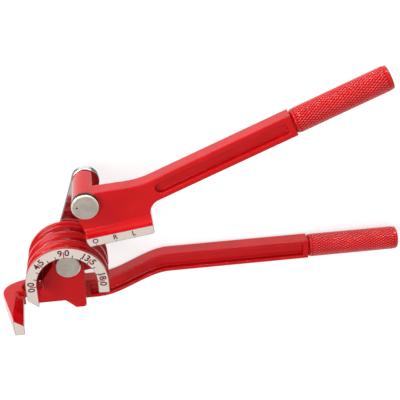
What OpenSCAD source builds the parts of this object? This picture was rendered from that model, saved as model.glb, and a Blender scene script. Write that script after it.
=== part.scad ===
// Three-size lever tube bender, lying on its back.
// X runs along the handles, Z is the bend axis, and the origin is the
// bend centre on the front face of the forming wheel.

/* [Forming wheel] */
// Radius of the wheel over its lands
wheel_r = 24; // [23:0.5:26]
// Radial thickness of the rim
rim_wall = 6.35; // [6:0.05:8]
// Smallest tube diameter, front groove
tube_small = 6; // [4:0.5:6]
// Middle tube diameter
tube_middle = 8; // [6:0.5:8]
// Largest tube diameter, rear groove
tube_large = 10; // [8:0.5:10]
// Width of each land beside a groove
land_w = 2.25; // [2:0.05:3]
// How far the middle of a tube stands outside the lands
groove_relief = 0.2; // [0.1:0.1:0.6]
// Straight tail of the rim below the zero mark, outer side
tail_outer = 8.8; // [6:0.1:9]
// Straight tail of the rim below the zero mark, inner side
tail_inner = 14.3; // [12:0.1:14.5]
// Straight leg of the rim below the last mark
leg_len = 8; // [5:0.5:9]
// Thickness of the wheel's back wall
web_t = 4.6; // [4:0.2:6]

/* [Tube hook] */
// Thickness of the hook plate
hook_t = 6.5; // [5:0.5:7]
// Radius of the hook's eye
hook_eye_r = 9.6; // [8.5:0.1:11]
// Gap between the hook arm and the rim's tail
hook_clear = 1; // [0.9:0.1:1.6]
// Height of the hook arm
hook_arm_h = 10.3; // [9:0.1:11]
// Inner face of the finger at its tip, from the bend axis
finger_tip_in = 26.8; // [26.5:0.1:28]
// Inner face of the finger at the arm, from the bend axis
finger_root_in = 28.8; // [28.5:0.1:30]
// Width of the finger at its tip
finger_w = 5.4; // [4.5:0.1:7]
// Bevel along the finger's inner edge
finger_bevel = 4.3; // [2:0.1:4.4]
// How far the finger stands in front of the wheel
finger_out = 9.5; // [2:0.5:12]
// Outermost reach of the hook arm
hook_reach = 40.4; // [38:0.2:44]
// Play of the largest tube in the arm's scallop
scallop_play = 0.5; // [0.3:0.1:1]
// Drop of the thumb tab below the hook plate
tab_drop = 5.8; // [3:0.2:8]

/* [Link] */
// Distance between the two pivots
link_len = 50.9; // [50.5:0.1:54]
// Lean of the link from the Y axis, as stored
link_lean = 17.26; // [0:0.02:30]
// Thickness of the link
link_t = 4.6; // [3.6:0.2:6]
// Radius of the link's lower eye
link_r1 = 10.3; // [9.5:0.1:10.6]
// Radius of the link's upper eye
link_r2 = 8.4; // [8:0.1:9]

/* [Pivot pins] */
// Diameter of both pin shanks
pin_d = 7; // [6:0.5:8]
// Diameter of both pin heads
head_d = 15.6; // [14:0.1:16]
// Thickness of the wheel pin's head
wheel_head_t = 2.6; // [2:0.1:3]
// Thickness of the shoe pin's head
shoe_head_t = 3.8; // [2.5:0.1:4]
// Bevel round each head
head_bevel = 0.8; // [0.3:0.1:1.2]
// Outside diameter of the washers
washer_d = 15; // [13:0.5:16]
// Thickness of the washers
washer_t = 0.8; // [0.6:0.1:1.2]
// Thickness of the retaining rings
ring_t = 1; // [0.8:0.1:1.4]
// Width of the retaining rings
ring_w = 2.3; // [1.8:0.1:2.6]
// Depth of the retaining ring groove
ring_seat = 0.7; // [0.5:0.1:1]

/* [Handle bars] */
// Thickness of both bars along the bend axis
bar_t = 10.3; // [9:0.1:12]
// Height of the lower bar
lower_bar_h = 12.6; // [11:0.2:14]
// Height of the upper bar
upper_bar_h = 13.3; // [12:0.1:14]
// Depth of the channels in the bars
channel_depth = 3.6; // [1.5:0.1:4.2]
// Flange left beside the lower bar's channels
lower_flange = 2.1; // [1.6:0.1:3]
// Flange left beside the upper bar's channels
upper_flange = 3.3; // [2.5:0.1:4]
// Far end of the lower bar
lower_bar_end = 151.5; // [130:0.5:170]
// Length of the upper bar past its root
upper_bar_l = 79; // [65:0.5:95]
// Middle of the lower bar below the bend axis
lower_drop = 15.5; // [14.5:0.1:18]
// Middle of the neck where it passes the wheel
neck_drop = 29.8; // [29:0.1:31]

/* [Grips] */
// Diameter of the grips
grip_d = 14.7; // [14.2:0.1:18]
// Length of the grips
grip_l = 58; // [45:1:70]
// Bevel at the end of each grip
grip_bevel = 1.2; // [0.5:0.1:2]
// Bevel at the mouth of each grip
mouth_bevel = 1; // [0.4:0.1:1.6]
// Closed end of each grip
grip_end_wall = 7.5; // [3:0.5:10]
// Diameter of the spigot inside each grip
spigot_d = 8; // [6:0.5:9]

/* [Forming shoe] */
// Length of the shoe past its zero mark
shoe_len = 34.1; // [30:0.1:36]
// Overlap of the shoe before its zero mark
shoe_lead = 4.2; // [3:0.1:5]
// Running gap between the shoe and the wheel
shoe_gap = 1.85; // [0.8:0.05:2]
// Height of the shoe at its front lip
shoe_h = 5.3; // [5:0.1:7]
// Slope of the upper bar from the shoe
bar_slope = 14.4; // [11:0.1:18]
// Angle of the shoe to the X axis, as stored
shoe_tilt = 8; // [0:0.5:20]
// Setback of the upper bar behind the front face
bar_setback = 5; // [4.4:0.1:6]
// Radius of the shoe pin boss
boss_r = 7.6; // [7.4:0.1:8]
// Flat right side of the boss behind the plate, from the pin's axis
boss_flat = 5.1; // [4.8:0.1:6]
// Fillet between the shoe's end and the bar
shoe_end_r = 8; // [5:0.5:9]
// Rounded corner at the far end of the shoe's lip
shoe_round = 1.8; // [1:0.1:2.4]

/* [Hidden] */
$fn = 96;

// Clearances: beside moving plates, round running pins, beside fixed faces
side_gap = 0.3;
run_gap = 0.05;
press_gap = 0.1;
neck_gap = 0.4;
arm_gap = 0.9;
eye_inset = 0.2;
cove_bite = 0.25;
over = 0.5;
arc_steps = 10;

// Groove rows from front to back
tubes = [tube_small, tube_middle, tube_large];
function groove_mid(i) = i == 0 ? -land_w - tubes[0] / 2
    : groove_mid(i - 1) - tubes[i - 1] / 2 - land_w - tubes[i] / 2;
wheel_w = tubes[0] + tubes[1] + tubes[2] + 4 * land_w;
rim_in = wheel_r - rim_wall;
tube_mid_r = wheel_r + groove_relief;

// Levels along the bend axis, front to back
pin_stub = 1.4;
web_z = -wheel_w + web_t;
hook_back = web_z + side_gap;
hook_front = hook_back + hook_t;
link_front = -wheel_w - side_gap;
link_back = link_front - link_t;
washer_front = link_back - press_gap;
ring_front = washer_front - washer_t - press_gap;
pin_end = ring_front - ring_t - pin_stub;
neck_front = link_back - neck_gap;
neck_back = neck_front - bar_t;
neck_mid = (neck_front + neck_back) / 2;
bar_front = -bar_setback;
bar_back = bar_front - bar_t;
bar_mid = (bar_front + bar_back) / 2;
boss_front = -shoe_head_t - press_gap;

// Pivot positions
shoe_pin_x = link_len * sin(link_lean);
shoe_pin_y = link_len * cos(link_lean);
shoe_drop = link_len - wheel_r - shoe_gap;
shoe_tube_drop = link_len - tube_mid_r;
shoe_top = shoe_h - shoe_drop;

// Foot that carries the wheel on the neck, behind the hook
web_lap = rim_wall / 3;
foot_left = -7;
foot_right = 7.8;
foot_cut = 4;
foot_top = link_r1 + 1.7;
foot_ease = 1.5;
web_low = leg_len + 1.4;
web_left_low = tail_inner - 0.5;
foot_low = neck_drop - lower_bar_h / 2 + 3;

// Neck of the lower handle: an S between these two places along X
neck_x0 = 16;
neck_x1 = 62;
neck_left = -1;
neck_steps = 18;
channel_start = foot_right + 3;
lower_channel_end = lower_bar_end - 3.5;
upper_channel_start = -6.5;
upper_channel_stop = 4;

// Hook: top and bottom of its arm, joggle behind the rear groove, thumb tab
hook_top = tail_inner + hook_clear;
hook_bottom = hook_top + hook_arm_h;
hook_left = rim_in - 1.2;
arm_back = neck_front + arm_gap;
joggle_in = tube_mid_r - tube_large / 2 - 4.2;
arm_slope = 2.3;
tab_right = 8.4;
tab_left = 2;
tab_run = 6.2;
tab_round = 1.4;

// Upper bar: its middle line starts at the root, on the slope
bar_root = [46.5, 0.6];
bar_dir = [cos(bar_slope), sin(bar_slope)];
bar_up = [-sin(bar_slope), cos(bar_slope)];
bar_over = bar_root + upper_bar_h / 2 * bar_up;
bar_under = bar_root - upper_bar_h / 2 * bar_up;
saddle = [27, 4];
saddle_rise = 4.2;
saddle_r = (saddle - bar_over) * bar_up / (1 - cos(bar_slope));
shoe_end_x = shoe_len + 0.5;
shoe_end_c = [shoe_end_x + shoe_end_r, bar_under[1]
    + ((shoe_end_x + shoe_end_r - bar_under[0]) * sin(bar_slope) - shoe_end_r) / cos(bar_slope)];
lead_bevel = 1.4;
corner_slip = 0.1;
rear_bevel = 1.5;

// Grip seat at the end of each bar
collar_l = 0.4;
collar_d = bar_t - 0.4;
seat_sink = 1;
bore_depth = grip_l - grip_end_wall;
spigot_l = collar_l + bore_depth - 1;

// Retaining ring ears
ear_r = 1.6;
ear_at = 2.3;
ear_hole_r = 0.7;
ring_slot = 1.8;

red = [0.74, 0.05, 0.07];
chrome = [0.82, 0.83, 0.85];
steel = [0.72, 0.72, 0.70];
spring = [0.30, 0.30, 0.32];

function arc(c, r, a0, a1) = [for (i = [0:arc_steps])
    c + r * [cos(a0 + (a1 - a0) * i / arc_steps), sin(a0 + (a1 - a0) * i / arc_steps)]];

// Slab of a plan outline between two levels
module slab(z0, z1) {
    translate([0, 0, z0]) linear_extrude(z1 - z0) children();
}

// Rim section with its three tube grooves: radius across, bend axis up
module rim_section() {
    difference() {
        translate([rim_in, -wheel_w]) square([rim_wall, wheel_w]);
        for (i = [0:2]) translate([tube_mid_r, groove_mid(i)]) circle(d = tubes[i]);
    }
}

// One straight leg of the rim, running down from the X axis
module rim_leg(length) {
    rotate([90, 0, 0]) linear_extrude(length) rim_section();
}

// Half wheel with a straight leg and a slanted tail
module wheel_rim() {
    tail_slope = (tail_inner - tail_outer) / rim_wall;
    rotate_extrude(angle = 180) rim_section();
    rim_leg(leg_len);
    difference() {
        mirror([1, 0, 0]) rim_leg(tail_inner);
        slab(-wheel_w - over, over) polygon([
            [-wheel_r - over, -tail_outer + over * tail_slope],
            [-rim_in, -tail_inner],
            [-rim_in, -tail_inner - over],
            [-wheel_r - over, -tail_inner - over]]);
    }
}

// Back wall of the wheel and the post down to the neck
module wheel_web() {
    slab(-wheel_w, web_z) difference() {
        union() {
            intersection() {
                circle(r = rim_in + web_lap);
                translate([-wheel_r, -over]) square([2 * wheel_r, wheel_r + over]);
            }
            polygon([[-rim_in - web_lap, 0], [rim_in + web_lap, 0], [rim_in + web_lap, -leg_len],
                [foot_right + foot_ease, -web_low], [foot_right, -web_low - foot_ease],
                [foot_right, -foot_low], [foot_left + foot_cut, -foot_low],
                [foot_left, -foot_low + foot_cut], [foot_left, -web_left_low],
                [-rim_in, -web_left_low], [-rim_in - web_lap, -tail_outer]]);
        }
        circle(d = pin_d);
    }
    slab(neck_back, -wheel_w + over) polygon([[foot_left, -foot_top], [foot_right, -foot_top],
        [foot_right, -neck_drop], [foot_left + foot_cut, -neck_drop], [foot_left, -foot_low + foot_cut]]);
}

// Middle line of the neck and bar: a smooth S from the foot up to the bar
function ease(t) = t <= 0 ? 0 : t >= 1 ? 1 : t * t * (3 - 2 * t);
function neck_y(x) = -neck_drop + (neck_drop - lower_drop) * ease((x - neck_x0) / (neck_x1 - neck_x0));
function neck_xs(a, b) = concat([a],
    [for (i = [0:neck_steps]) neck_x0 + (neck_x1 - neck_x0) * i / neck_steps], [b]);

// Plan band along the middle line, from x = a to x = b
module neck_band(a, b, half_h) {
    xs = neck_xs(a, b);
    polygon(concat([for (x = xs) [x, neck_y(x) + half_h]],
        [for (i = [len(xs) - 1:-1:0]) [xs[i], neck_y(xs[i]) - half_h]]));
}

// Collar and spigot that carry a grip, along +X from the bar's end
module spigot() {
    rotate([0, 90, 0]) translate([0, 0, -seat_sink]) {
        cylinder(d = collar_d, h = seat_sink + collar_l);
        cylinder(d = spigot_d, h = seat_sink + spigot_l);
    }
}

module on_lower_end(along) {
    translate([lower_bar_end + along, -lower_drop, neck_mid]) children();
}

// Lower handle: forming wheel, foot, neck, channelled bar and grip spigot
module lower_handle() {
    color(red) {
        wheel_rim();
        wheel_web();
        difference() {
            slab(neck_back, neck_front) {
                neck_band(neck_left, lower_bar_end, lower_bar_h / 2);
                translate([neck_left, -neck_drop]) circle(d = lower_bar_h);
            }
            for (z = [neck_front - channel_depth, neck_back - over])
                slab(z, z + channel_depth + over)
                    neck_band(channel_start, lower_channel_end, lower_bar_h / 2 - lower_flange);
        }
        on_lower_end(0) spigot();
    }
}

// Sleeve grip along +X from its mouth, bevelled at both ends
module grip() {
    color(red) rotate([0, 90, 0]) difference() {
        rotate_extrude() polygon([[0, 0], [grip_d / 2 - mouth_bevel, 0], [grip_d / 2, mouth_bevel],
            [grip_d / 2, grip_l - grip_bevel], [grip_d / 2 - grip_bevel, grip_l], [0, grip_l]]);
        translate([0, 0, -over]) cylinder(d = spigot_d, h = bore_depth + over);
    }
}

module lower_grip() {
    on_lower_end(collar_l) grip();
}

// Places the upper handle's own frame: shoe pin at the origin, shoe along X
module on_shoe_pin() {
    translate([shoe_pin_x, shoe_pin_y, 0]) rotate(shoe_tilt) children();
}

// A place along the upper bar's middle line, in the upper handle's frame
module along_bar(from) {
    translate(bar_root) rotate(bar_slope) translate([from, 0]) children();
}

// Plan of the upper handle's plate between the boss, the shoe and the bar
module upper_plate_plan() {
    saddle_end = saddle + saddle_r * [-sin(saddle_rise), 1 - cos(saddle_rise)];
    polygon(concat([[0, 0], [-boss_r + eye_inset, 0], [-shoe_lead, shoe_top], [shoe_end_x, shoe_top]],
        arc(shoe_end_c, shoe_end_r, 180, 90 + bar_slope),
        [bar_under + upper_bar_l * bar_dir, bar_over + upper_bar_l * bar_dir],
        arc(saddle + [0, saddle_r], saddle_r, 270 + bar_slope, 270 - saddle_rise),
        [[boss_r / 2, saddle_end[1] + (saddle_end[0] - boss_r / 2) * tan(saddle_rise)]]));
}

// Channel of the upper bar: round at the shoe end, square at the grip end
module upper_channel_plan() {
    channel_h = upper_bar_h - 2 * upper_flange;
    channel_l = upper_bar_l - upper_channel_stop - upper_channel_start - channel_h / 2;
    along_bar(upper_channel_start + channel_h / 2) polygon(concat([[channel_l, -channel_h / 2], [channel_l, channel_h / 2]],
        arc([0, 0], channel_h / 2, 90, 270)));
}

// Shoe: a block over all three grooves, hollowed below by half-round channels
module forming_shoe() {
    shoe_l = shoe_end_x + shoe_lead;
    block_y = shoe_top + 0.8 * bar_setback;
    corner = [shoe_end_x, -shoe_drop] + (shoe_round - corner_slip) * [-1, 1];
    difference() {
        translate([-shoe_lead, 0, 0]) rotate([90, 0, 90]) linear_extrude(shoe_l) polygon([
            [-shoe_drop, 0], [block_y, 0], [block_y, bar_back], [shoe_top + rear_bevel, -wheel_w + rear_bevel],
            [shoe_top, -wheel_w], [-shoe_drop, -wheel_w]]);
        for (i = [0:2]) translate([-shoe_lead - over, -shoe_tube_drop, groove_mid(i)])
            rotate([0, 90, 0]) cylinder(d = tubes[i], h = shoe_l + 2 * over);
        slab(-wheel_w - over, over) {
            polygon([[-shoe_lead - over, shoe_top - over], [lead_bevel - shoe_lead, -shoe_drop - over],
                [-shoe_lead - over, -shoe_drop - over]]);
            polygon(concat(arc(corner, shoe_round, 0, -90), [[corner[0], -shoe_drop - over],
                [shoe_end_x + over, -shoe_drop - over], [shoe_end_x + over, corner[1]]]));
        }
    }
}

// Cove along the shoe's lip, with a fine line where it runs out on the plate
module lip_cove() {
    cove_r = bar_setback + cove_bite;
    translate([-boss_r, shoe_top + cove_r, 0]) rotate([0, 90, 0])
        cylinder(r = cove_r, h = shoe_end_x + boss_r + over);
}

// Plan of the boss and its rib behind the plate, flat on the right
module rear_boss_plan() {
    difference() {
        union() {
            circle(r = boss_r);
            polygon([[-boss_r + eye_inset, 0], [-shoe_lead, shoe_top], [boss_flat + over, shoe_top],
                [boss_flat + over, 0]]);
        }
        translate([boss_flat, shoe_top - over]) square([boss_r, boss_r - shoe_top + 2 * over]);
    }
}

// Upper handle: shoe, boss, rear rib, channelled bar and grip spigot
module upper_handle() {
    color(red) on_shoe_pin() difference() {
        union() {
            difference() {
                slab(bar_back, bar_front) upper_plate_plan();
                for (z = [bar_front - channel_depth, bar_back - over])
                    slab(z, z + channel_depth + over) upper_channel_plan();
            }
            forming_shoe();
            slab(bar_back, boss_front) circle(r = boss_r);
            slab(-wheel_w, bar_back + over) rear_boss_plan();
            translate([0, 0, bar_mid]) along_bar(upper_bar_l) spigot();
        }
        lip_cove();
        translate([0, 0, -wheel_w - over]) cylinder(d = pin_d + 2 * run_gap, h = wheel_w + 2 * over);
    }
}

module upper_grip() {
    on_shoe_pin() translate([0, 0, bar_mid]) along_bar(upper_bar_l + collar_l) grip();
}

// Link: two eyes joined by straight sides just inside their common tangents
module pivot_link() {
    lean = asin((link_r1 - link_r2) / link_len);
    side = [cos(lean), sin(lean)];
    other = [-cos(lean), sin(lean)];
    top = [0, link_len];
    color(chrome) rotate(-link_lean) slab(link_back, link_front) difference() {
        union() {
            circle(r = link_r1);
            translate(top) circle(r = link_r2);
            polygon([(link_r1 - eye_inset) * side, top + (link_r2 - eye_inset) * side,
                top + (link_r2 - eye_inset) * other, (link_r1 - eye_inset) * other]);
        }
        circle(d = pin_d + 2 * run_gap);
        translate(top) circle(d = pin_d);
    }
}

// Plan of the hook plate: eye, root of the arm and thumb tab
module hook_plan() {
    tab_low = -hook_bottom - tab_drop;
    circle(r = hook_eye_r);
    polygon([[hook_eye_r, 0], [tab_right, -hook_bottom], [tab_right, tab_low + tab_round],
        [tab_right - tab_round, tab_low], [tab_left, tab_low], [tab_left - tab_run, -hook_bottom],
        [-joggle_in - over, -hook_bottom], [-joggle_in - over, -hook_top], [-hook_left, -hook_top],
        [-hook_left, -tail_outer], [-hook_eye_r, 0]]);
}

// Side view of the arm and finger: X across, bend axis up
module arm_side(back) {
    heel = [-hook_reach, hook_front + arm_slope];
    tip = [-finger_tip_in - finger_w, finger_out];
    lean = atan2(tip[0] - heel[0], tip[1] - heel[1]);
    heel_r = (heel[1] - back) / (1 + sin(lean));
    polygon(concat([[-joggle_in, hook_front], [-joggle_in, hook_back], [-joggle_in - arm_slope, back]],
        arc(heel + heel_r * [cos(lean), -sin(lean)], heel_r, 270, 180 - lean),
        [tip, [-finger_tip_in, finger_out], [-finger_root_in, hook_front]]));
}

// Hook: plate on the wheel pin, arm under the tail with a scallop for the
// largest tube, finger across the grooves
module tube_hook() {
    step = hook_clear + 2 * side_gap + run_gap;
    color(red) difference() {
        union() {
            slab(hook_back, hook_front) hook_plan();
            translate([0, -hook_top, 0]) rotate([90, 0, 0]) linear_extrude(hook_arm_h) arm_side(-wheel_w);
            translate([0, -hook_top - step, 0]) rotate([90, 0, 0]) linear_extrude(hook_arm_h - step)
                arm_side(arm_back);
        }
        translate([0, 0, hook_back - over]) cylinder(d = pin_d + 2 * run_gap, h = hook_t + 2 * over);
        translate([-tube_mid_r, -hook_bottom - over, groove_mid(2)]) rotate([-90, 0, 0])
            cylinder(d = tube_large + 2 * scallop_play, h = hook_arm_h + 2 * over);
        slab(hook_front, finger_out + over) polygon([[-finger_root_in - finger_bevel, -hook_top],
            [-finger_tip_in + over, -hook_top + over], [-finger_tip_in + over, -hook_top - finger_bevel - over],
            [-finger_tip_in, -hook_top - finger_bevel]]);
    }
}

// Headed pin: bevelled head in front, ring groove near its far end
module headed_pin(head_back, head_t) {
    pin_bevel = 0.5;
    color(steel) rotate_extrude() polygon([[0, head_back + head_t], [head_d / 2 - head_bevel, head_back + head_t],
        [head_d / 2, head_back + head_t - head_bevel], [head_d / 2, head_back], [pin_d / 2, head_back],
        [pin_d / 2, ring_front], [pin_d / 2 - ring_seat, ring_front],
        [pin_d / 2 - ring_seat, ring_front - ring_t], [pin_d / 2, ring_front - ring_t],
        [pin_d / 2, pin_end + pin_bevel], [pin_d / 2 - pin_bevel, pin_end], [0, pin_end]]);
}

module washer() {
    color(steel) slab(washer_front - washer_t, washer_front) difference() {
        circle(d = washer_d);
        circle(d = pin_d + 2 * press_gap);
    }
}

// Open retaining ring with its two ear holes
module retaining_ring() {
    seat_r = pin_d / 2 - ring_seat;
    ring_r = seat_r + ring_w;
    color(spring) slab(ring_front - ring_t, ring_front) difference() {
        union() {
            circle(r = ring_r);
            for (s = [-1, 1]) translate([s * ear_at, ring_r]) circle(r = ear_r);
        }
        circle(r = seat_r);
        translate([-ring_slot / 2, 0]) square([ring_slot, ring_r + 2 * ear_r]);
        for (s = [-1, 1]) translate([s * ear_at, ring_r]) circle(r = ear_hole_r);
    }
}

module wheel_pin() {
    headed_pin(hook_front + press_gap, wheel_head_t);
}

module wheel_pin_washer() {
    washer();
}

module wheel_pin_ring() {
    rotate(150) retaining_ring();
}

module at_shoe_pin() {
    translate([shoe_pin_x, shoe_pin_y, 0]) children();
}

module shoe_pin() {
    at_shoe_pin() headed_pin(-shoe_head_t, shoe_head_t);
}

module shoe_pin_washer() {
    at_shoe_pin() washer();
}

module shoe_pin_ring() {
    at_shoe_pin() rotate(-40) retaining_ring();
}

lower_handle();
lower_grip();
upper_handle();
upper_grip();
pivot_link();
tube_hook();
wheel_pin();
wheel_pin_washer();
wheel_pin_ring();
shoe_pin();
shoe_pin_washer();
shoe_pin_ring();
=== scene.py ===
import math

import bmesh
import bpy
from mathutils import Matrix, Vector


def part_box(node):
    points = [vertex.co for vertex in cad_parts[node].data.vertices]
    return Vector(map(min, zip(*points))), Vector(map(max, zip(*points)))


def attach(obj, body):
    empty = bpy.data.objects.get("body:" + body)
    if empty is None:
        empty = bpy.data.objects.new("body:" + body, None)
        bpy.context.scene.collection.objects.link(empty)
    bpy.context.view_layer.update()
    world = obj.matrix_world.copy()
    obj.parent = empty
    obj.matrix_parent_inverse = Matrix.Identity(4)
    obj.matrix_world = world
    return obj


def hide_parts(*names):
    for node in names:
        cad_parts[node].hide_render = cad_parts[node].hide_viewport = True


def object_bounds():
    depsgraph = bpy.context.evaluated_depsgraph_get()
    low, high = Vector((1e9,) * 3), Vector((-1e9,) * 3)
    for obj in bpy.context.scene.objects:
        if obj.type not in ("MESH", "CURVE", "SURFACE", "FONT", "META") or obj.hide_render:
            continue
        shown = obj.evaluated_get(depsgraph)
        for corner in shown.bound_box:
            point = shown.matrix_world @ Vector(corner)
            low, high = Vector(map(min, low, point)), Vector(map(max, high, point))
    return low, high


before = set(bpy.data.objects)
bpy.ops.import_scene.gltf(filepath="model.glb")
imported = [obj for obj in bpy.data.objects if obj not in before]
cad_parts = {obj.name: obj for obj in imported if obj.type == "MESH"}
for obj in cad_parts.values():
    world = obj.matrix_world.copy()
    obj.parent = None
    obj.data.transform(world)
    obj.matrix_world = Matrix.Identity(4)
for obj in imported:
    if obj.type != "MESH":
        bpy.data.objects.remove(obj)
cad_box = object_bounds()

# Studio: the tool lies on its back on a plain white floor.
# A narrow lamp stands at the upper left, a long low one behind the tool and a wide
# one high on the left, and the white room fills the shadows.
MM = 0.001
scene = bpy.context.scene
scene.view_settings.view_transform = "Standard"

camera_data = bpy.data.cameras.new("camera")
camera_data.lens = 78.58
camera_data.sensor_width = 36
camera = bpy.data.objects.new("camera", camera_data)
camera.matrix_world = Matrix((
    (0.99262, 0.08791, -0.08347, 0.03841),
    (-0.03919, 0.88430, 0.46527, 0.27562),
    (0.11472, -0.45856, 0.88123, 0.43240),
    (0, 0, 0, 1)))
scene.collection.objects.link(camera)
scene.camera = camera


def soft_lamp(name, place, aim, width, height, watts):
    lamp = bpy.data.lights.new(name, "AREA")
    lamp.shape = "RECTANGLE"
    lamp.size = width
    lamp.size_y = height
    lamp.energy = watts
    lamp_object = bpy.data.objects.new(name, lamp)
    lamp_object.location = place
    lamp_object.rotation_euler = (Vector(place) - Vector(aim)).to_track_quat("Z", "Y").to_euler()
    scene.collection.objects.link(lamp_object)


soft_lamp("key_lamp", place=(-0.62, 0.58, 0.26), aim=(0.03, 0, 0), width=0.42, height=0.08, watts=3.6)
soft_lamp("back_lamp", place=(0.34, 0.95, 0.07), aim=(0.08, 0, -0.03), width=0.90, height=0.11, watts=4.8)
soft_lamp("fill_lamp", place=(-0.38, 0.20, 0.84), aim=(0.06, 0, 0), width=0.50, height=0.50, watts=3.9)


def add_math(nodes, links, operation, first, second):
    node = nodes.new("ShaderNodeMath")
    node.operation = operation
    links.new(first, node.inputs[0])
    links.new(second, node.inputs[1])
    return node.outputs[0]


def add_range(nodes, links, value, from_min=0.0, from_max=1.0, to_min=0.0, to_max=1.0):
    node = nodes.new("ShaderNodeMapRange")
    node.inputs["From Min"].default_value = from_min
    node.inputs["From Max"].default_value = from_max
    node.inputs["To Min"].default_value = to_min
    node.inputs["To Max"].default_value = to_max
    links.new(value, node.inputs["Value"])
    return node.outputs["Result"]


def seen_rays(nodes, links):
    path = nodes.new("ShaderNodeLightPath")
    sharp = add_math(nodes, links, "MAXIMUM", path.outputs["Is Camera Ray"], path.outputs["Is Glossy Ray"])
    return add_math(nodes, links, "MAXIMUM", sharp, path.outputs["Is Transmission Ray"])


white = (1, 1, 1, 1)
world = bpy.data.worlds.new("room")
scene.world = world
world.use_nodes = True
room_nodes = world.node_tree.nodes
room_links = world.node_tree.links
room_light = room_nodes["Background"]
room_light.inputs["Color"].default_value = white
room_seen = room_nodes.new("ShaderNodeBackground")
room_seen.inputs["Color"].default_value = white
room_place = room_nodes.new("ShaderNodeTexCoord")
room_sides = room_nodes.new("ShaderNodeSeparateXYZ")
room_links.new(room_place.outputs["Generated"], room_sides.inputs["Vector"])
room_fall = add_range(room_nodes, room_links, room_sides.outputs["Z"], to_min=0.2, to_max=0.8)
room_links.new(room_fall, room_light.inputs["Strength"])
ceiling = add_range(room_nodes, room_links, room_sides.outputs["Z"], 0.5, 0.75, to_min=1.0, to_max=0.6)
room_links.new(ceiling, room_seen.inputs["Strength"])
room_mix = room_nodes.new("ShaderNodeMixShader")
room_links.new(seen_rays(room_nodes, room_links), room_mix.inputs["Fac"])
room_links.new(room_light.outputs[0], room_mix.inputs[1])
room_links.new(room_seen.outputs[0], room_mix.inputs[2])
room_links.new(room_mix.outputs[0], room_nodes["World Output"].inputs["Surface"])

floor_half = 3
floor_z = cad_box[0].z
floor_corners = [(-floor_half, -floor_half, floor_z), (floor_half, -floor_half, floor_z),
                 (floor_half, floor_half, floor_z), (-floor_half, floor_half, floor_z)]
floor_mesh = bpy.data.meshes.new("floor")
floor_mesh.from_pydata(floor_corners, [], [(0, 1, 2, 3)])
floor = bpy.data.objects.new("floor", floor_mesh)
scene.collection.objects.link(floor)
floor_paint = bpy.data.materials.new("floor_paint")
floor_paint.use_nodes = True
floor_mesh.materials.append(floor_paint)
floor_nodes = floor_paint.node_tree.nodes
floor_links = floor_paint.node_tree.links
floor_body = floor_nodes["Principled BSDF"]
floor_body.inputs["Roughness"].default_value = 0.9
floor_body.inputs["Specular IOR Level"].default_value = 0.0
floor_seen = seen_rays(floor_nodes, floor_links)
floor_tone = floor_nodes.new("ShaderNodeMix")
floor_tone.data_type = "RGBA"
floor_tone.inputs["A"].default_value = (0.58, 0.58, 0.58, 1)
floor_tone.inputs["B"].default_value = (0.45, 0.45, 0.45, 1)
floor_links.new(floor_seen, floor_tone.inputs["Factor"])
floor_links.new(floor_tone.outputs["Result"], floor_body.inputs["Base Color"])
floor_glow = floor_nodes.new("ShaderNodeEmission")
floor_lift = add_range(floor_nodes, floor_links, floor_seen, to_max=0.66)
floor_links.new(floor_lift, floor_glow.inputs["Strength"])
floor_sum = floor_nodes.new("ShaderNodeAddShader")
floor_links.new(floor_body.outputs[0], floor_sum.inputs[0])
floor_links.new(floor_glow.outputs[0], floor_sum.inputs[1])
floor_links.new(floor_sum.outputs[0], floor_nodes["Material Output"].inputs["Surface"])


# Lower handle: one zinc casting with the forming wheel, foot, S neck and bar.
# It is cast with rounded edges and dipped in red enamel, with painted shade darkening the grooves; the
# wheel's scale face is then milled bare, flat and crisp.
def new_group(name, inputs, outputs):
    group = bpy.data.node_groups.new(name, "ShaderNodeTree")
    for in_out, sockets in (("INPUT", inputs), ("OUTPUT", outputs)):
        for socket, kind in sockets:
            group.interface.new_socket(name=socket, in_out=in_out, socket_type="NodeSocket" + kind)
    source = group.nodes.new("NodeGroupInput")
    result = group.nodes.new("NodeGroupOutput")
    return group, source.outputs, result.inputs


def tone_between(nodes, links, factor, dark, light):
    mix = nodes.new("ShaderNodeMix")
    mix.data_type = "RGBA"
    links.new(factor, mix.inputs["Factor"])
    links.new(dark, mix.inputs["A"])
    links.new(light, mix.inputs["B"])
    return mix.outputs["Result"]


def tinted(nodes, links, color, tint):
    mix = nodes.new("ShaderNodeMix")
    mix.data_type = "RGBA"
    mix.blend_type = "MULTIPLY"
    mix.inputs["Factor"].default_value = 1
    links.new(color, mix.inputs["A"])
    links.new(tint, mix.inputs["B"])
    return mix.outputs["Result"]


surface_outputs = (("Color", "Color"), ("Roughness", "Float"), ("Normal", "Vector"))


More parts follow.
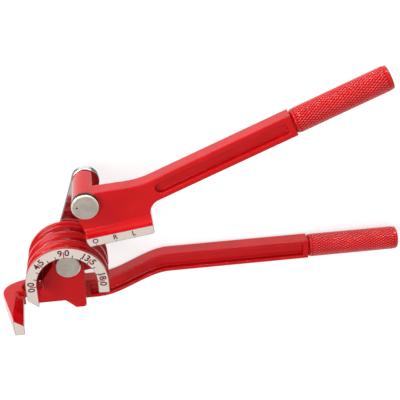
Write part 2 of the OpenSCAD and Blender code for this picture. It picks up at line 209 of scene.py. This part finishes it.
def paint_skin_group():
    inputs = (("Fine Scale", "Float"), ("Bump", "Float"), ("Dark", "Color"), ("Light", "Color"))
    group, source, result = new_group("paint_skin", inputs, surface_outputs)
    nodes = group.nodes
    links = group.links
    place = nodes.new("ShaderNodeTexCoord")
    broad = nodes.new("ShaderNodeTexNoise")
    broad.inputs["Scale"].default_value = 70
    broad.inputs["Detail"].default_value = 4
    links.new(place.outputs["Object"], broad.inputs["Vector"])
    spread = add_range(nodes, links, broad.outputs["Fac"], 0.3, 0.7)
    tone = tone_between(nodes, links, spread, source["Dark"], source["Light"])
    # painted shade: the enamel is darkened in the piece's own corners and recesses
    recess = nodes.new("ShaderNodeAmbientOcclusion")
    recess.only_local = True
    recess.samples = 8
    recess.inputs["Distance"].default_value = 1.7 * MM
    painted_recess_shade = add_range(nodes, links, recess.outputs["AO"], 0.25, 0.85, to_min=0.4)
    peel = nodes.new("ShaderNodeTexNoise")
    peel.inputs["Detail"].default_value = 2
    links.new(place.outputs["Object"], peel.inputs["Vector"])
    links.new(source["Fine Scale"], peel.inputs["Scale"])
    sheen = add_range(nodes, links, peel.outputs["Fac"], to_min=0.10, to_max=0.18)
    bump = nodes.new("ShaderNodeBump")
    bump.inputs["Distance"].default_value = 0.1 * MM
    links.new(source["Bump"], bump.inputs["Strength"])
    links.new(peel.outputs["Fac"], bump.inputs["Height"])
    links.new(tinted(nodes, links, tone, painted_recess_shade), result["Color"])
    links.new(sheen, result["Roughness"])
    links.new(bump.outputs["Normal"], result["Normal"])
    return group


red_dark = (0.50, 0.003, 0.005, 1)
red_light = (0.59, 0.005, 0.008, 1)
red_glance = (1, 0.32, 0.29, 1)
paint_skin = paint_skin_group()


def enamel(name, fine_scale, bump, gloss, coat):
    material = bpy.data.materials.new(name)
    material.use_nodes = True
    nodes = material.node_tree.nodes
    links = material.node_tree.links
    body = nodes["Principled BSDF"]
    body.inputs["Specular IOR Level"].default_value = gloss
    body.inputs["Specular Tint"].default_value = red_glance
    body.inputs["Coat Weight"].default_value = coat
    body.inputs["Coat Roughness"].default_value = 0.03
    skin = nodes.new("ShaderNodeGroup")
    skin.node_tree = paint_skin
    skin.inputs["Fine Scale"].default_value = fine_scale
    skin.inputs["Bump"].default_value = bump
    skin.inputs["Dark"].default_value = red_dark
    skin.inputs["Light"].default_value = red_light
    links.new(skin.outputs["Color"], body.inputs["Base Color"])
    links.new(skin.outputs["Roughness"], body.inputs["Roughness"])
    links.new(skin.outputs["Normal"], body.inputs["Normal"])
    return material


def vector_math(nodes, links, operation, *vectors):
    node = nodes.new("ShaderNodeVectorMath")
    node.operation = operation
    for socket, vector in zip(node.inputs, vectors):
        links.new(vector, socket)
    return node.outputs


# painted shade: darkens a surface towards the floor of its grooves, by radius from an axis
def groove_group():
    inputs = (("Color", "Color"), ("Shade", "Color"), ("Across", "Vector"), ("Floor Radius", "Float"),
              ("Crest Radius", "Float"), ("Lowest Z", "Float"))
    group, source, result = new_group("groove_painted_shade", inputs, (("Color", "Color"), ("Rise", "Float")))
    nodes = group.nodes
    links = group.links
    place = nodes.new("ShaderNodeTexCoord")
    across = vector_math(nodes, links, "MULTIPLY", place.outputs["Object"], source["Across"])["Vector"]
    radius = vector_math(nodes, links, "LENGTH", across)["Value"]
    spoke = vector_math(nodes, links, "NORMALIZE", across)["Vector"]
    facing = vector_math(nodes, links, "DOT_PRODUCT", place.outputs["Normal"], spoke)["Value"]
    rise = nodes.new("ShaderNodeMapRange")
    links.new(radius, rise.inputs["Value"])
    links.new(source["Floor Radius"], rise.inputs["From Min"])
    links.new(source["Crest Radius"], rise.inputs["From Max"])
    light = add_range(nodes, links, rise.outputs["Result"], 0.15, 0.62)
    turned_in = add_range(nodes, links, facing, 0.1, 0.4, to_min=1.0, to_max=0.0)
    parts = nodes.new("ShaderNodeSeparateXYZ")
    links.new(place.outputs["Object"], parts.inputs["Vector"])
    below = add_math(nodes, links, "LESS_THAN", parts.outputs["Z"], source["Lowest Z"])
    outside = add_math(nodes, links, "MAXIMUM", turned_in, below)
    plain = add_math(nodes, links, "MAXIMUM", light, outside)
    depth = nodes.new("ShaderNodeMix")
    depth.data_type = "RGBA"
    depth.inputs["B"].default_value = white
    links.new(plain, depth.inputs["Factor"])
    links.new(source["Shade"], depth.inputs["A"])
    links.new(tinted(nodes, links, source["Color"], depth.outputs["Result"]), result["Color"])
    links.new(rise.outputs["Result"], result["Rise"])
    return group


groove_painted_shade = groove_group()


def shade_grooves(material, shade, across, floor_radius, crest_radius, lowest_z):
    nodes = material.node_tree.nodes
    links = material.node_tree.links
    paint = nodes["Principled BSDF"].inputs["Base Color"]
    groove = nodes.new("ShaderNodeGroup")
    groove.node_tree = groove_painted_shade
    groove.inputs["Shade"].default_value = shade
    groove.inputs["Across"].default_value = across
    groove.inputs["Floor Radius"].default_value = floor_radius
    groove.inputs["Crest Radius"].default_value = crest_radius
    groove.inputs["Lowest Z"].default_value = lowest_z
    links.new(paint.links[0].from_socket, groove.inputs["Color"])
    links.new(groove.outputs["Color"], paint)
    return groove


def grain_group():
    inputs = (("Vector", "Vector"), ("Dark", "Color"), ("Light", "Color"), ("Smooth", "Float"),
              ("Rough", "Float"))
    group, source, result = new_group("metal_grain", inputs, surface_outputs)
    nodes = group.nodes
    links = group.links
    streaks = nodes.new("ShaderNodeTexNoise")
    streaks.inputs["Scale"].default_value = 1
    streaks.inputs["Detail"].default_value = 5
    links.new(source["Vector"], streaks.inputs["Vector"])
    tone = tone_between(nodes, links, streaks.outputs["Fac"], source["Dark"], source["Light"])
    sheen = nodes.new("ShaderNodeMapRange")
    links.new(streaks.outputs["Fac"], sheen.inputs["Value"])
    links.new(source["Smooth"], sheen.inputs["To Min"])
    links.new(source["Rough"], sheen.inputs["To Max"])
    bump = nodes.new("ShaderNodeBump")
    bump.inputs["Strength"].default_value = 0.25
    bump.inputs["Distance"].default_value = 0.03 * MM
    links.new(streaks.outputs["Fac"], bump.inputs["Height"])
    links.new(tone, result["Color"])
    links.new(sheen.outputs["Result"], result["Roughness"])
    links.new(bump.outputs["Normal"], result["Normal"])
    return group


metal_grain = grain_group()


def bare_metal(name, stretch, dark, light, smooth, rough):
    material = bpy.data.materials.new(name)
    material.use_nodes = True
    nodes = material.node_tree.nodes
    links = material.node_tree.links
    body = nodes["Principled BSDF"]
    body.inputs["Metallic"].default_value = 1.0
    place = nodes.new("ShaderNodeTexCoord")
    scale = nodes.new("ShaderNodeMapping")
    scale.inputs["Scale"].default_value = stretch
    links.new(place.outputs["Object"], scale.inputs["Vector"])
    grain = nodes.new("ShaderNodeGroup")
    grain.node_tree = metal_grain
    grain.inputs["Dark"].default_value = (*dark, 1)
    grain.inputs["Light"].default_value = (*light, 1)
    grain.inputs["Smooth"].default_value = smooth
    grain.inputs["Rough"].default_value = rough
    links.new(scale.outputs["Vector"], grain.inputs["Vector"])
    links.new(grain.outputs["Color"], body.inputs["Base Color"])
    links.new(grain.outputs["Roughness"], body.inputs["Roughness"])
    links.new(grain.outputs["Normal"], body.inputs["Normal"])
    return material


casting_red = enamel("casting_red", fine_scale=650, bump=0.3, gloss=0.1, coat=0.38)
wheel_red_shaded = enamel("wheel_red_shaded", fine_scale=650, bump=0.3, gloss=0.1, coat=0.38)
# painted shade: the wheel's tube grooves are darkened towards their floor
painted_groove_shade = (0.3, 0.3, 0.3, 1)
groove_floor = 18.5 * MM
wheel_r = 24 * MM
wheel_back = -33 * MM
shade_grooves(wheel_red_shaded, painted_groove_shade, (1, 1, 0), groove_floor, wheel_r, wheel_back)
milled = bare_metal("milled", stretch=(300, 2600, 300), dark=(0.72, 0.63, 0.56), light=(0.89, 0.80, 0.725),
                    smooth=0.42, rough=0.60)
milled_rim = bare_metal("milled_rim", stretch=(500, 500, 500),
                        dark=(0.22, 0.17, 0.16), light=(0.32, 0.27, 0.25), smooth=0.45, rough=0.60)

mill_stock = 2 * MM
rim_width = 0.22 * MM
flat_slack = 0.03 * MM
flat_normal = 0.98
weld = 0.002 * MM
crease = math.radians(40)


def on_plane(face, z):
    return face.normal.z > flat_normal and abs(face.calc_center_median().z - z) < flat_slack


def settled(name, mesh):
    mesh.set_sharp_from_angle(angle=crease)
    piece = bpy.data.objects.new(name, mesh)
    scene.collection.objects.link(piece)
    level = piece.modifiers.new("face_normals", "WEIGHTED_NORMAL")
    level.keep_sharp = True
    return piece


def cast_piece(name, node, cell, rounding, kept_share, milled_z, paint):
    blank = bmesh.new()
    blank.from_mesh(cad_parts[node].data)
    bmesh.ops.remove_doubles(blank, verts=blank.verts, dist=weld)
    raised = set()
    for face in blank.faces:
        if on_plane(face, milled_z):
            raised.update(face.verts)
    for vert in raised:
        vert.co.z += mill_stock
    mould_mesh = bpy.data.meshes.new(name + "_mould")
    blank.to_mesh(mould_mesh)
    blank.free()
    mould = bpy.data.objects.new(name + "_mould", mould_mesh)
    scene.collection.objects.link(mould)
    skin = mould.modifiers.new("skin", "REMESH")
    skin.mode = "VOXEL"
    skin.voxel_size = cell
    soften = mould.modifiers.new("soften", "SMOOTH")
    soften.factor = 0.5
    soften.iterations = rounding
    thin = mould.modifiers.new("thin", "DECIMATE")
    thin.ratio = kept_share
    bpy.context.view_layer.update()
    mesh = bpy.data.meshes.new_from_object(mould.evaluated_get(bpy.context.evaluated_depsgraph_get()))
    bpy.data.objects.remove(mould)
    bpy.data.meshes.remove(mould_mesh)
    mesh.name = name
    mesh.materials.append(paint)
    mesh.materials.append(milled)
    mesh.materials.append(milled_rim)
    casting = bmesh.new()
    casting.from_mesh(mesh)
    everything = casting.verts[:] + casting.edges[:] + casting.faces[:]
    cut = bmesh.ops.bisect_plane(casting, geom=everything, plane_co=(0, 0, milled_z), plane_no=(0, 0, 1),
                                 clear_outer=True)
    rim = [item for item in cut["geom_cut"] if isinstance(item, bmesh.types.BMEdge)]
    bmesh.ops.triangle_fill(casting, use_beauty=True, edges=rim, normal=(0, 0, 1))
    casting.normal_update()
    bare = [face for face in casting.faces if on_plane(face, milled_z)]
    border = bmesh.ops.inset_region(casting, faces=bare, thickness=rim_width, use_even_offset=True)
    for face in casting.faces:
        face.smooth = True
        face.material_index = 0
    for face in bare:
        face.material_index = 1
    for face in border["faces"]:
        face.material_index = 2
    casting.to_mesh(mesh)
    casting.free()
    return settled(name, mesh)


scale_face = 0.0
lower_casting = cast_piece("lower_casting", "lower_handle", cell=0.35 * MM, rounding=4, kept_share=0.18,
                           milled_z=scale_face, paint=wheel_red_shaded)
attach(lower_casting, "lower")
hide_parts("lower_handle")


# Angle scale: degree numbers and ticks stamped round the milled face of the
# wheel and filled with dark and red paint. The numbers stand outward and each
# pair is parted by a red line.
ink_top = 0.035 * MM
ink_sink = 0.02 * MM
stroke_gain = 0.022
half_block = 0.5
dark_mark = 0
red_mark = 1


def ink(name, dark, light):
    material = bpy.data.materials.new(name)
    material.use_nodes = True
    nodes = material.node_tree.nodes
    links = material.node_tree.links
    body = nodes["Principled BSDF"]
    body.inputs["Roughness"].default_value = 0.6
    body.inputs["Specular IOR Level"].default_value = 0.2
    place = nodes.new("ShaderNodeTexCoord")
    speckle = nodes.new("ShaderNodeTexNoise")
    speckle.inputs["Scale"].default_value = 1500
    links.new(place.outputs["Object"], speckle.inputs["Vector"])
    tone = nodes.new("ShaderNodeMix")
    tone.data_type = "RGBA"
    tone.inputs["A"].default_value = (*dark, 1)
    tone.inputs["B"].default_value = (*light, 1)
    links.new(speckle.outputs["Fac"], tone.inputs["Factor"])
    links.new(tone.outputs["Result"], body.inputs["Base Color"])
    return material


def stamp(marks, text, height, place, material_index):
    curve = bpy.data.curves.new("stamp", "FONT")
    curve.body = text
    curve.offset = stroke_gain
    curve.extrude = half_block
    letter = bpy.data.objects.new("stamp", curve)
    scene.collection.objects.link(letter)
    bpy.context.view_layer.update()
    mesh = bpy.data.meshes.new_from_object(letter.evaluated_get(bpy.context.evaluated_depsgraph_get()))
    bpy.data.objects.remove(letter)
    bpy.data.curves.remove(curve)
    xs = [vert.co.x for vert in mesh.vertices]
    ys = [vert.co.y for vert in mesh.vertices]
    centre = Matrix.Translation((-(min(xs) + max(xs)) / 2, -(min(ys) + max(ys)) / 2, half_block))
    share = height / (max(ys) - min(ys))
    size = Matrix.Diagonal((share, share, ink_top + ink_sink, 1))
    mesh.transform(place @ Matrix.Translation((0, 0, -ink_sink)) @ size @ centre)
    for polygon in mesh.polygons:
        polygon.material_index = material_index
    marks.from_mesh(mesh)
    bpy.data.meshes.remove(mesh)


def tick(marks, width, length, place, material_index):
    size = Matrix.Diagonal((width, length, ink_top + ink_sink, 1))
    middle = Matrix.Translation((0, 0, (ink_top - ink_sink) / 2))
    made = bmesh.ops.create_cube(marks, size=1, matrix=place @ middle @ size)
    for vert in made["verts"]:
        for face in vert.link_faces:
            face.material_index = material_index


def marks_piece(name, marks, body):
    mesh = bpy.data.meshes.new(name)
    marks.to_mesh(mesh)
    marks.free()
    mesh.materials.append(ink_dark)
    mesh.materials.append(ink_red)
    piece = bpy.data.objects.new(name, mesh)
    scene.collection.objects.link(piece)
    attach(piece, body)


def on_ring(angle, radius):
    turn = Matrix.Rotation(math.radians(angle - 90), 4, "Z")
    return turn @ Matrix.Translation((0, radius * MM, 0))


ink_dark = ink("ink_dark", dark=(0.05, 0.006, 0.01), light=(0.10, 0.010, 0.018))
ink_red = ink("ink_red", dark=(0.38, 0.008, 0.03), light=(0.50, 0.014, 0.045))
number_r = 20.9
digit_h = 4.1 * MM
digit_step = 2.6
first_digit = 2.0
red_line_r = 19.75
red_line_w = 0.65 * MM
red_line_l = 3.8 * MM
tick_r = 18.65
tick_w = 0.5 * MM
tick_l = 1.8 * MM
scale_marks = bmesh.new()
for angle, before, after in ((180, "0", "0"), (135, "4", "5"), (90, "9", "0"), (45, "13", "5"),
                             (0, "18", "0")):
    for order, digit in enumerate(reversed(before)):
        lean = math.degrees((first_digit + order * digit_step) / number_r)
        stamp(scale_marks, digit, digit_h, on_ring(angle + lean, number_r), dark_mark)
    lean = math.degrees(first_digit / number_r)
    stamp(scale_marks, after, digit_h, on_ring(angle - lean, number_r), dark_mark)
    tick(scale_marks, red_line_w, red_line_l, on_ring(angle, red_line_r), red_mark)
for angle in range(15, 180, 15):
    if angle % 45:
        tick(scale_marks, tick_w, tick_l, on_ring(angle, tick_r), dark_mark)
marks_piece("scale_marks", scale_marks, "lower")


# Tube hook: small zinc casting that swings on the wheel pin.
# Red enamel, with the tip of its finger milled bare.
finger_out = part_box("tube_hook")[1].z
hook_casting = cast_piece("hook_casting", "tube_hook", cell=0.3 * MM, rounding=20, kept_share=0.3,
                          milled_z=finger_out, paint=casting_red)
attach(hook_casting, "hook")
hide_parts("tube_hook")


# Pivot link: steel strap with two round eyes, blanked from plate and plated
# bright. Its edges are tumbled round before plating.
flat_limit = math.radians(0.5)
edge_limit = math.radians(26)


def turned_piece(name, node, width, steps, material):
    bm = bmesh.new()
    bm.from_mesh(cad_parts[node].data)
    bmesh.ops.remove_doubles(bm, verts=bm.verts, dist=weld)
    bmesh.ops.dissolve_limit(bm, angle_limit=flat_limit, verts=bm.verts, edges=bm.edges)
    edges = [edge for edge in bm.edges if edge.is_manifold and edge.calc_face_angle(0) > edge_limit]
    bmesh.ops.bevel(bm, geom=edges, offset=width, segments=steps, profile=0.5, affect="EDGES",
                    clamp_overlap=True)
    for face in bm.faces:
        face.smooth = True
    mesh = bpy.data.meshes.new(name)
    bm.to_mesh(mesh)
    bm.free()
    mesh.materials.append(material)
    return settled(name, mesh)


# painted reflection: darkens or brightens a bare metal by the way its faces turn
def paint_side_reflection(material, axis, stops):
    nodes = material.node_tree.nodes
    links = material.node_tree.links
    metal = nodes["Principled BSDF"].inputs["Base Color"]
    bright = metal.links[0].from_socket
    place = nodes.new("ShaderNodeTexCoord")
    parts = nodes.new("ShaderNodeSeparateXYZ")
    links.new(place.outputs["Normal"], parts.inputs["Vector"])
    size = nodes.new("ShaderNodeMath")
    size.operation = "ABSOLUTE"
    links.new(parts.outputs[axis], size.inputs[0])
    shade = nodes.new("ShaderNodeValToRGB")
    ramp = shade.color_ramp
    for spot, value in stops[:-2]:
        ramp.elements.new(spot)
    for element, (spot, value) in zip(ramp.elements, stops):
        element.position = spot
        element.color = (value, value, value, 1)
    links.new(size.outputs[0], shade.inputs["Fac"])
    links.new(tinted(nodes, links, bright, shade.outputs["Color"]), metal)


plating = bare_metal("plating", stretch=(90, 90, 90), dark=(0.66, 0.67, 0.68), light=(0.78, 0.79, 0.80),
                     smooth=0.07, rough=0.14)
# painted reflection: the link's faces that turn left and right are darkened
paint_side_reflection(plating, "X", ((0.30, 1.0), (0.58, 0.06), (0.84, 0.05), (0.96, 0.55)))
link_strap = turned_piece("link_strap", "pivot_link", width=0.6 * MM, steps=4, material=plating)
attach(link_strap, "link")
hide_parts("pivot_link")


# Pins: two headed steel pins, turned and dull plated, with a bevelled rim on
# the head. Each is held at the back by a zinc washer and a black spring ring, and
# the shoe pin's head has a small drilled dot.
pin_steel = bare_metal("pin_steel", stretch=(240, 240, 240),
                       dark=(0.39, 0.345, 0.295), light=(0.65, 0.59, 0.515), smooth=0.34, rough=0.50)
# painted reflection: the pin's sides are darkened and the bevelled rim of its head is brightened
paint_side_reflection(pin_steel, "Z", ((0.10, 0.04), (0.35, 0.06), (0.60, 1.5), (0.97, 1.0)))
washer_zinc = bare_metal("washer_zinc", stretch=(500, 500, 500),
                         dark=(0.46, 0.47, 0.48), light=(0.62, 0.63, 0.64), smooth=0.28, rough=0.42)
ring_black = bare_metal("ring_black", stretch=(400, 400, 400),
                        dark=(0.05, 0.05, 0.055), light=(0.11, 0.11, 0.12), smooth=0.32, rough=0.48)
pin_bevel = 0.25 * MM
ring_bevel = 0.12 * MM
dimple_r = 0.62 * MM
dimple_depth = 1.2 * MM
dimple_place = Vector((10.53 * MM, 48.77 * MM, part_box("shoe_pin")[1].z))


def drill_dimple(mesh):
    pin_bm = bmesh.new()
    pin_bm.from_mesh(mesh)
    head = max(pin_bm.faces, key=lambda face: face.calc_center_median().z)
    rim = list(head.edges)
    bmesh.ops.delete(pin_bm, geom=[head], context="FACES_ONLY")
    lip = bmesh.ops.create_circle(pin_bm, segments=12, radius=dimple_r,
                                  matrix=Matrix.Translation(dimple_place))
    hole = {edge for vert in lip["verts"] for edge in vert.link_edges}
    bmesh.ops.triangle_fill(pin_bm, use_beauty=True, edges=rim + list(hole), normal=(0, 0, 1))
    pit = pin_bm.verts.new(dimple_place - Vector((0, 0, dimple_depth)))
    for edge in hole:
        pin_bm.faces.new((*edge.verts, pit))
    bmesh.ops.recalc_face_normals(pin_bm, faces=pin_bm.faces)
    pin_bm.to_mesh(mesh)
    pin_bm.free()


for pin, body in (("wheel_pin", "lower"), ("shoe_pin", "link")):
    for node, slot, width, material in ((pin, "pin", pin_bevel, pin_steel),
                                        (pin + "_washer", "washer", ring_bevel, washer_zinc),
                                        (pin + "_ring", "ring", ring_bevel, ring_black)):
        fitting = turned_piece(node + "_turned", node, width, steps=3, material=material)
        if node == "shoe_pin":
            drill_dimple(fitting.data)
        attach(fitting, body)
        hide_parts(node)


# Upper handle: one zinc casting with the forming shoe, pin boss, plate and bar.
# Red enamel, with the front of the shoe's lip milled bare for its index marks.
lip_face = 0.0
upper_casting = cast_piece("upper_casting", "upper_handle", cell=0.4 * MM, rounding=5, kept_share=0.2,
                           milled_z=lip_face, paint=casting_red)
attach(upper_casting, "upper")
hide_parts("upper_handle")


# Index marks: the zero letter and the letters for right and left bends, stamped
# on the shoe's milled lip, each with a short line at the lip's lower edge.
shoe_pivot = (15.1026 * MM, 48.6075 * MM, 0)
shoe_lean = math.radians(8)
shoe_frame = Matrix.Translation(shoe_pivot) @ Matrix.Rotation(shoe_lean, 4, "Z")
letter_y = -21.95 * MM
letter_h = 3.1 * MM
short_line_y = -24.5 * MM
short_line_w = 0.3 * MM
short_line_l = 0.9 * MM
index_marks = bmesh.new()
for letter, along in (("O", 0.75), ("R", 12.4), ("L", 23.0)):
    letter_spot = shoe_frame @ Matrix.Translation((along * MM, letter_y, 0))
    line_spot = shoe_frame @ Matrix.Translation((along * MM, short_line_y, 0))
    stamp(index_marks, letter, letter_h, letter_spot, dark_mark)
    tick(index_marks, short_line_w, short_line_l, line_spot, dark_mark)
marks_piece("index_marks", index_marks, "upper")


# Grips: two steel sleeves pressed on the spigots of the bars, diamond knurled between plain bands and
# dipped in the same red enamel. The knurl's grooves carry painted shade and its crests a painted
# highlight.
grip_r = 7.35
grip_l = 58.0
mouth_bevel = 1.0
mouth_reach = 0.35
mouth_step = 0.3
shoulder_x = 0.6
shoulder_drop = 0.1
end_round = 0.9
end_parts = (0.3, 0.6, 0.85, 1.0)
band_r = 7.2
knurl_depth = 0.5
knurl_from = 1.4
knurl_to = 56.0
knurl_runout = 0.25
knurls_round = 28
knurl_rows = 35
crest_share = 0.5
crest_dome = 0.04
cross_cut = 0.5


def knurled_sleeve(name):
    half_steps = 2 * knurls_round
    floor_r = grip_r - knurl_depth
    crest_r = grip_r - crest_dome
    row_length = (knurl_to - knurl_from) / knurl_rows
    points = []
    faces = []
    smooth = []
    cuts = {}

    def point(x, radius, step):
        angle = 2 * math.pi * step / half_steps
        points.append((x * MM, radius * math.cos(angle) * MM, radius * math.sin(angle) * MM))
        return len(points) - 1

    def ring(x, radius):
        return [point(x, radius, step) for step in range(half_steps)]

    def band(first, second):
        for step in range(half_steps):
            after = (step + 1) % half_steps
            faces.append((first[step], first[after], second[after], second[step]))
            smooth.append(True)

    def cut_point(row, step, next_step):
        key = row, step, next_step
        if key not in cuts:
            x = knurl_from + (row + 0.5) * row_length
            if (next_step - step) % half_steps == 1:
                cuts[key] = point(x, grip_r - cross_cut * knurl_depth, step + 0.5)
            else:
                cuts[key] = point(x, floor_r, step - 0.5)
        return cuts[key]

    rings = [ring(-mouth_reach, grip_r - mouth_bevel), ring(0, grip_r - mouth_bevel + mouth_step),
             ring(shoulder_x, band_r - shoulder_drop), ring(mouth_bevel, band_r)]
    for first, second in zip(rings, rings[1:]):
        band(first, second)
    faces.append(tuple(reversed(rings[0])))
    smooth.append(False)
    base = {}
    for row in range(knurl_rows + 1):
        at_end = row in (0, knurl_rows)
        row_r = band_r if at_end else floor_r
        for step in range(half_steps):
            if at_end or (row + step) % 2:
                base[row, step] = point(knurl_from + row * row_length, row_r, step)
    band(rings[-1], [base[0, step] for step in range(half_steps)])
    for row in range(knurl_rows + 1):
        x = knurl_from + row * row_length
        for step in range(half_steps):
            if (row + step) % 2:
                continue
            left = (step - 1) % half_steps
            right = (step + 1) % half_steps
            if row == 0:
                faces.append((base[0, left], base[0, step], base[0, right], cut_point(0, right, step),
                              base[1, step], cut_point(0, left, step)))
                smooth.append(True)
                continue
            if row == knurl_rows:
                faces.append((base[row, right], base[row, step], base[row, left],
                              cut_point(row - 1, step, left), base[row - 1, step],
                              cut_point(row - 1, step, right)))
                smooth.append(True)
                continue
            corners = (base[row - 1, step], base[row, right], base[row + 1, step], base[row, left])
            crest = (point(x - crest_share * row_length, crest_r, step),
                     point(x, crest_r, step + crest_share),
                     point(x + crest_share * row_length, crest_r, step),
                     point(x, crest_r, step - crest_share))
            peak = point(x, grip_r, step)
            sides = (cut_point(row - 1, step, right), cut_point(row, right, step),
                     cut_point(row, left, step), cut_point(row - 1, step, left))
            for side in range(4):
                after = (side + 1) % 4
                faces.append((corners[side], sides[side], crest[side]))
                faces.append((sides[side], crest[after], crest[side]))
                faces.append((sides[side], corners[after], crest[after]))
                faces.append((crest[side], crest[after], peak))
                smooth += [True, True, True, True]
    tail = [[base[knurl_rows, step] for step in range(half_steps)], ring(knurl_to + knurl_runout, band_r),
            ring(grip_l - end_round, band_r)]
    for part in end_parts:
        bend = part * math.pi / 2
        tail.append(ring(grip_l - end_round * (1 - math.sin(bend)),
                         band_r - end_round * (1 - math.cos(bend))))
    for first, second in zip(tail, tail[1:]):
        band(first, second)
    faces.append(tuple(tail[-1]))
    smooth.append(False)
    mesh = bpy.data.meshes.new(name)
    mesh.from_pydata(points, [], faces)
    for polygon, flag in zip(mesh.polygons, smooth):
        polygon.use_smooth = flag
    mesh.materials.append(knurl_red)
    return mesh


# painted highlight: tints the knurl's crests pale pink, and raises their coat
def paint_crest_highlight(material, groove):
    nodes = material.node_tree.nodes
    links = material.node_tree.links
    body = nodes["Principled BSDF"]
    glint = nodes.new("ShaderNodeMix")
    glint.data_type = "RGBA"
    glint.inputs["A"].default_value = white
    glint.inputs["B"].default_value = (1.35, 7.0, 5.0, 1)
    links.new(add_range(nodes, links, groove.outputs["Rise"], 0.62, 0.92), glint.inputs["Factor"])
    tint = tinted(nodes, links, groove.outputs["Color"], glint.outputs["Result"])
    links.new(tint, body.inputs["Base Color"])
    shine = add_range(nodes, links, groove.outputs["Rise"], 0.4, 0.9, to_max=0.9)
    links.new(shine, body.inputs["Coat Weight"])


# painted shade in the knurl's grooves and a painted highlight on its crests
knurl_red = enamel("knurl_red", fine_scale=900, bump=0.15, gloss=0.2, coat=0.35)
knurl_shade = (0.52, 0.4, 0.4, 1)
knurl_groove = shade_grooves(knurl_red, knurl_shade, (0, 1, 1), (grip_r - knurl_depth) * MM, grip_r * MM,
                             -grip_r * MM)
paint_crest_highlight(knurl_red, knurl_groove)
lower_low, lower_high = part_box("lower_grip")
lower_axis = Matrix.Translation((lower_low.x, (lower_low.y + lower_high.y) / 2,
                                 (lower_low.z + lower_high.z) / 2))
bar_root = (46.5 * MM, 0.6 * MM, -10.15 * MM)
bar_lean = math.radians(14.4)
grip_seat = (79.4 * MM, 0, 0)
upper_axis = (shoe_frame @ Matrix.Translation(bar_root) @ Matrix.Rotation(bar_lean, 4, "Z")
              @ Matrix.Translation(grip_seat))
for name, node, body, axis in (("lower_sleeve", "lower_grip", "lower", lower_axis),
                               ("upper_sleeve", "upper_grip", "upper", upper_axis)):
    sleeve = bpy.data.objects.new(name, knurled_sleeve(name))
    sleeve.matrix_world = axis
    scene.collection.objects.link(sleeve)
    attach(sleeve, body)
    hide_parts(node)
